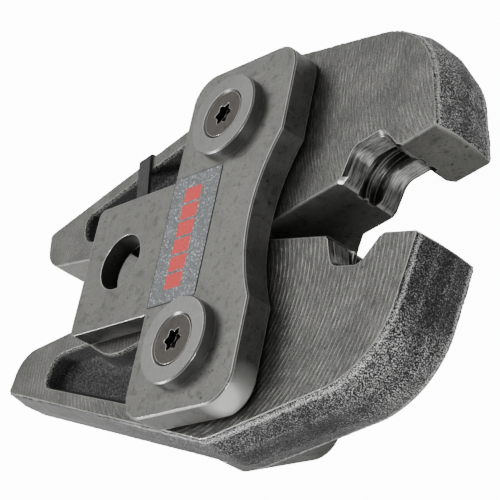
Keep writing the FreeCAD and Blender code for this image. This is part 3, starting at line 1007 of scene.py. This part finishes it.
@dataclass
class Lever:
    """One forged lever: the node's form with a crumbly forged rim, and a finish on each kind of surface.

    Its sizes are given in the shut lever's frame, which starts midway between the bolts: x ahead of the bolts
    and y out from the parting face.
    """

    node: str
    body: Body
    pivot: Vector
    open_deg: float
    side: int
    ground: GroundSteel
    painted_tip_light: float
    half_thickness: float = 8.7
    tolerance: float = 0.01
    ground_facing: float = 0.99
    rear: float = 77.6
    front: float = 54.0
    tip_front: float = 42.0
    tip_low: float = 0.6
    mouth_middle: float = 34.3
    land_reach: float = 9.8
    land_low: float = 0.15
    land_height: float = 9.6
    land_edges: tuple[float, ...] = (3.4, 2.6, 0.45, 7.6)
    boss_radius: float = 12.5
    pocket_rear: float = 63.0
    pocket_front: float = 12.5
    pocket_depth: float = 5.2
    pocket_back: float = 36.4
    back_slope: float = 0.09
    ramp_front: float = -40.0
    ramp_side: float = 25.0
    flank_side: float = 17.2
    forged_from: float = 32.4
    forged_lean: float = 0.25
    end_lean: float = 0.5
    band: float = 6.0
    grid: float = 0.8
    lump_size: float = 3.4
    lump_depth: float = 0.16
    grit_size: float = 0.7
    grit_depth: float = 0.12
    ragged_size: float = 1.1
    ragged_depth: float = 0.42
    ragged_reach: float = 1.4
    ragged_low: float = 2.0
    ragged_fade: float = 3.0
    cloud_octaves: int = 2
    sink_level: float = 1.0
    sway_level: float = 0.5
    smooth_deg: float = 17.0
    machined_tone: Triple = (0.21, 0.21, 0.195)
    machined_roughness: float = 0.45

    def shut(self, point: Vector) -> Vector:
        """Carry a point on the open lever, in metres, into the shut lever's frame, in millimetres."""
        turned = Matrix.Rotation(math.radians(-self.side * self.open_deg), 3, "Z") @ (point - self.pivot)
        return Vector((turned.x, self.side * turned.y + abs(self.pivot.y), turned.z)) / MM

    def region(self, centre: Vector, normal: Vector) -> Region:
        """Tell what kind of surface a face is.

        Args:
            centre: The face's centre, in metres.
            normal: The face's normal.

        Returns:
            Its kind.
        """
        p = self.shut(centre)
        n = self.shut(centre + normal * MM) - p
        if abs(n.z) > self.ground_facing and abs(p.z) > self.half_thickness - self.tolerance:
            return Region.GROUND
        if math.hypot(p.x, p.y - abs(self.pivot.y) / MM) < self.boss_radius:
            return Region.MACHINED
        if self.in_pocket(p):
            return Region.POCKET
        ahead = p.x > self.tip_front and p.y > self.tip_low and n.x > self.forged_lean
        end = n.x < -self.end_lean and p.x < -self.pocket_rear
        back = p.y > self.forged_from and (n.y > self.forged_lean or end)
        if ahead or back:
            return Region.FORGED
        if abs(p.x - self.mouth_middle) < self.land_reach and self.land_low < p.y < self.land_height:
            return Region.PRESS
        return Region.MACHINED

    def in_pocket(self, p: Vector) -> bool:
        """Whether a face below the ground side belongs to the pocket.

        Args:
            p: The face's centre in the shut lever's frame.

        Returns:
            True for the pocket's floor and walls.
        """
        sunk = self.half_thickness - self.pocket_depth < abs(p.z) < self.half_thickness - self.tolerance
        along = -self.pocket_rear < p.x < -self.pocket_front
        back = self.pocket_back + (self.rear + p.x) * self.back_slope
        front = self.ramp_side if p.x < self.ramp_front else self.flank_side
        return sunk and along and front < p.y < back

    def build(self, frame: dict) -> bpy.types.Object:
        """Model the lever and put it in its node's place.

        Args:
            frame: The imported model.

        Returns:
            The lever.
        """
        piece = merged_copy(frame["nodes"][self.node], f"{self.node}_forged")
        self.dress(piece)
        self.cut_grid(piece)
        self.roughen(piece)
        activate(piece)
        bpy.ops.object.shade_smooth_by_angle(angle=math.radians(self.smooth_deg))
        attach(piece, self.body.value)
        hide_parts(self.node)
        return piece

    def cut_grid(self, piece: bpy.types.Object) -> None:
        """Cut the forged faces into a fine grid.

        Args:
            piece: The lever, with its finishes.
        """
        activate(piece)
        bpy.ops.object.mode_set(mode="EDIT")
        bpy.ops.mesh.select_mode(type="FACE")
        turn = Matrix.Rotation(math.radians(self.side * self.open_deg), 3, "Z")
        along, up, out = turn @ Vector((1, 0, 0)), turn @ Vector((0, 1, 0)), Vector((0, 0, 1))
        height = abs(self.pivot.y) / MM
        for direction, low, high in ((out, -self.half_thickness, self.half_thickness),
                                     (along, -self.rear, self.front), (up, -height, height)):
            for k in range(math.ceil(low / self.grid), math.floor(high / self.grid) + 1):
                place = self.pivot + direction * (k * self.grid * MM)
                pick_slot(piece, Region.FORGED.value)
                bpy.ops.mesh.bisect(plane_co=place, plane_no=direction, threshold=self.tolerance * MM)
        pick_slot(piece, Region.FORGED.value)
        bpy.ops.mesh.subdivide(number_cuts=1)
        bpy.ops.object.mode_set(mode="OBJECT")

    def roughen(self, piece: bpy.types.Object) -> None:
        """Sink lumps and grit into the forged skin, and make its border with the ground faces ragged.

        Args:
            piece: The lever, with its finishes.
        """
        forged = set()
        for face in piece.data.polygons:
            if face.material_index == Region.FORGED.value:
                forged.update(face.vertices)
        skin = piece.vertex_groups.new(name="skin")
        border = piece.vertex_groups.new(name="border")
        for i in forged:
            p = self.shut(piece.data.vertices[i].co)
            inset = self.half_thickness - abs(p.z)
            if inset > 2 * self.tolerance:
                skin.add([i], 1.0, "REPLACE")
            near = max(0.0, 1 - inset / self.ragged_reach)
            fade = min(1.0, max(0.0, (p.y - self.ragged_low) / self.ragged_fade))
            if near * fade > 0:
                border.add([i], near * fade, "REPLACE")
        self.displace(piece, "skin", "NORMAL", self.lump_size, self.lump_depth, self.sink_level)
        self.displace(piece, "skin", "NORMAL", self.grit_size, self.grit_depth, self.sink_level)
        self.displace(piece, "border", "X", self.ragged_size, self.ragged_depth, self.sway_level)
        self.displace(piece, "border", "Y", self.ragged_size, self.ragged_depth, self.sway_level)

    def displace(self, piece: bpy.types.Object, group: str, direction: str, size: float, depth: float,
                 level: float) -> None:
        """Move the vertices of a group by a cloud pattern.

        Args:
            piece: The lever.
            group: The vertex group that moves.
            direction: The way it moves.
            size: The pattern's size, in millimetres.
            depth: How far it moves, in millimetres.
            level: The pattern's value that doesn't move.
        """
        clouds = bpy.data.textures.new(f"{group}_{direction}", "CLOUDS")
        clouds.noise_scale = size * MM
        clouds.noise_depth = self.cloud_octaves
        modifier = piece.modifiers.new("displace", "DISPLACE")
        modifier.texture = clouds
        modifier.texture_coords = "LOCAL"
        modifier.direction = direction
        modifier.vertex_group = group
        modifier.strength = depth * MM
        modifier.mid_level = level
        finish_modifier(piece, modifier)
        bpy.data.textures.remove(clouds)

    def dress(self, piece: bpy.types.Object) -> None:
        """Give each kind of surface its finish.

        Args:
            piece: The lever.
        """
        turn = self.side * self.open_deg
        name, thick, parting = self.node, self.half_thickness, abs(self.pivot.y) / MM
        finishes = {
            Region.GROUND: self.ground,
            Region.FORGED: ForgedSteel(f"{name}_forged", turn, thick, self.band, self.side, self.painted_tip_light),
            Region.MACHINED: SmoothSteel(f"{name}_machined", self.machined_tone, self.machined_roughness,
                                         turn_deg=turn),
            Region.POCKET: PocketSteel(f"{name}_pocket", turn, thick),
            Region.PRESS: PressSteel(f"{name}_press", turn, parting, self.land_edges),
        }
        for region in Region:
            piece.data.materials.append(finishes[region].make(self.pivot))
        for face in piece.data.polygons:
            face.material_index = self.region(face.center, face.normal).value


@dataclass(frozen=True)
class Lamp:
    """A square soft light: its name, where it hangs and its side in metres, and its power in watts."""

    name: str
    place: Triple
    size: float
    power: float


@dataclass
class Studio:
    """Floor, light and the camera at the photograph's viewing angle. Places are in metres."""

    eye: Vector = Vector((0.291658, -0.157581, 0.204857))
    right: Vector = Vector((0.67079, 0.18285, -0.71876))
    up: Vector = Vector((0.2113, 0.88185, 0.42153))
    lens: float = 117.52
    sensor: float = 36.0
    clip: tuple[float, float] = (0.01, 20.0)
    floor_height: float = -0.0193
    floor_size: float = 8.0
    floor_grey: float = 0.8
    floor_roughness: float = 0.9
    backdrop_glow: float = 13.0
    world_light: float = 0.45
    target: Triple = (0.02, 0.0, 0.0)
    lamps: tuple[Lamp, ...] = (
        Lamp("key", (-0.35, 0.30, 0.62), 0.5, 2.4),
        Lamp("top", (0.15, 0.20, 0.80), 0.5, 0.9),
        Lamp("glint", (0.70, -0.58, 0.15), 0.22, 2.8),
        Lamp("edge", (-0.52, -0.42, 0.32), 0.16, 4.2),
    )

    def build(self) -> None:
        """Make the camera, the floor and the lights."""
        self.camera()
        self.floor()
        self.world()
        for lamp in self.lamps:
            self.hang(lamp)

    def camera(self) -> None:
        """Make the camera."""
        data = bpy.data.cameras.new("camera")
        data.lens = self.lens
        data.sensor_width = self.sensor
        data.clip_start, data.clip_end = self.clip
        camera = bpy.data.objects.new("camera", data)
        bpy.context.scene.collection.objects.link(camera)
        back = self.right.cross(self.up).normalized()
        camera.matrix_world = Matrix((self.right, self.up, back)).transposed().to_4x4()
        camera.location = self.eye
        bpy.context.scene.camera = camera

    def floor(self) -> None:
        """Make the plain white floor that the jaw lies on, which looks as bright as the world behind it."""
        deselect()
        bpy.ops.mesh.primitive_plane_add(size=self.floor_size, location=(0, 0, self.floor_height))
        floor = bpy.context.active_object
        floor.name = "floor"
        settle(floor)
        graph = Graph("floor_white")
        graph.dress((self.floor_grey,) * 3 + (1,), self.floor_roughness, None, 0.0)
        seen = graph.add("ShaderNodeLightPath").outputs["Is Camera Ray"]
        graph.join((1, 1, 1, 1), graph.shader.inputs["Emission Color"])
        graph.join(graph.product(seen, self.backdrop_glow), graph.shader.inputs["Emission Strength"])
        floor.data.materials.append(graph.material)

    def world(self) -> None:
        """Light the scene evenly from all round, before a white backdrop."""
        world = bpy.data.worlds.new("studio")
        world.use_nodes = True
        background = world.node_tree.nodes["Background"]
        background.inputs[0].default_value = (1, 1, 1, 1)
        seen = world.node_tree.nodes.new("ShaderNodeLightPath")
        strength = world.node_tree.nodes.new("ShaderNodeMapRange")
        strength.inputs["To Min"].default_value = self.world_light
        strength.inputs["To Max"].default_value = self.backdrop_glow
        world.node_tree.links.new(seen.outputs["Is Camera Ray"], strength.inputs["Value"])
        world.node_tree.links.new(strength.outputs[0], background.inputs[1])
        bpy.context.scene.world = world

    def hang(self, lamp: Lamp) -> None:
        """Hang one soft light that points at the jaw.

        Args:
            lamp: The light.
        """
        data = bpy.data.lights.new(lamp.name, "AREA")
        data.size = lamp.size
        data.energy = lamp.power
        light = bpy.data.objects.new(lamp.name, data)
        bpy.context.scene.collection.objects.link(light)
        place = Vector(lamp.place)
        light.rotation_mode = "QUATERNION"
        light.rotation_quaternion = (Vector(self.target) - place).to_track_quat("-Z", "Y")
        light.location = place


def dress_node(frame: dict, node: str, material: bpy.types.Material) -> None:
    """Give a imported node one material.

    Args:
        frame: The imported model.
        node: The node's name.
        material: The material.
    """
    held = frame["nodes"][node]
    if not held.data.materials:
        held.data.materials.append(None)
    for slot in held.material_slots:
        slot.link = "OBJECT"
        slot.material = material


def dress_nodes(frame: dict) -> None:
    """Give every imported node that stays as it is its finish.

    Args:
        frame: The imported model.
    """
    low, high = (Vector(corner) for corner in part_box("label_foil"))
    size = (high - low) / MM
    # A painted highlight on the rounded lower front corner of the plate's wall.
    corner_glint = PaintedGlint((48.5, -41.0, 12.0))
    finishes = {
        # The wall greys below are painted shade on the side walls.
        "plate": SmoothSteel("plate_steel", (0.145, 0.145, 0.134), 0.42, head_from=17.0, edge_width=0.3,
                             glint_place=corner_glint),
        "washer": SmoothSteel("washer_steel", (0.18, 0.18, 0.176), 0.32, walls=0.85, mottle=0.05, dots=0.8),
        "screw": SmoothSteel("screw_steel", (0.058, 0.053, 0.047), 0.4, walls=0.5, mottle=0.12),
        "bolt": SmoothSteel("bolt_steel", (0.3, 0.3, 0.29), 0.3),
        "pin": SmoothSteel("pin_steel", (0.3, 0.3, 0.29), 0.3),
        "spring": SmoothSteel("spring_steel", (0.12, 0.12, 0.12), 0.3),
        "strap": Rubber(),
        "foil": LabelFoil("label_foil_silver", (low + high) / 2, size.y, size.x),
    }
    materials = {kind: finish.make() for kind, finish in finishes.items()}
    for node in frame["nodes"]:
        kind = node.rsplit("_", 1)[-1]
        if kind in materials:
            dress_node(frame, node, materials[kind])
            LOG.info("%s: %s", node, materials[kind].name)


def build_levers(frame: dict) -> None:
    """Build the two levers in place of their nodes.

    Args:
        frame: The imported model.
    """
    joints = {joint["child"]: joint for joint in frame["joints"]}
    upper = GroundSteel("upper_jaw_ground", wheel=(92.0, 10.0, 0.0), ridges=0.5, ridge_period=0.95,
                        patchy=0.8)
    lower = GroundSteel("lower_jaw_ground", wheel=(-7.9, 13.9, 0.0), ridges=0.9, ridge_period=1.25,
                        patchy=0.3)
    # The last value in each row is the painted light share of the lever's forged tip.
    for node, body, side, ground, painted_tip_light in (
        ("upper_jaw_lever", Body.UPPER_JAW, 1, upper, 1.0),
        ("lower_jaw_lever", Body.LOWER_JAW, -1, lower, 0.4),
    ):
        joint = joints[body.value]
        pivot, open_deg = Vector(joint["pos_m"]), joint["range_deg"][1]
        piece = Lever(node, body, pivot, open_deg, side, ground, painted_tip_light).build(frame)
        LOG.info("%s: %d faces", piece.name, len(piece.data.polygons))


def main() -> None:
    """Build the studio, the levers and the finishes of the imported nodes."""
    logging.basicConfig(level=logging.INFO, format="%(message)s")
    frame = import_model()
    Studio().build()
    build_levers(frame)
    dress_nodes(frame)


if __name__ == "__main__":
    main()
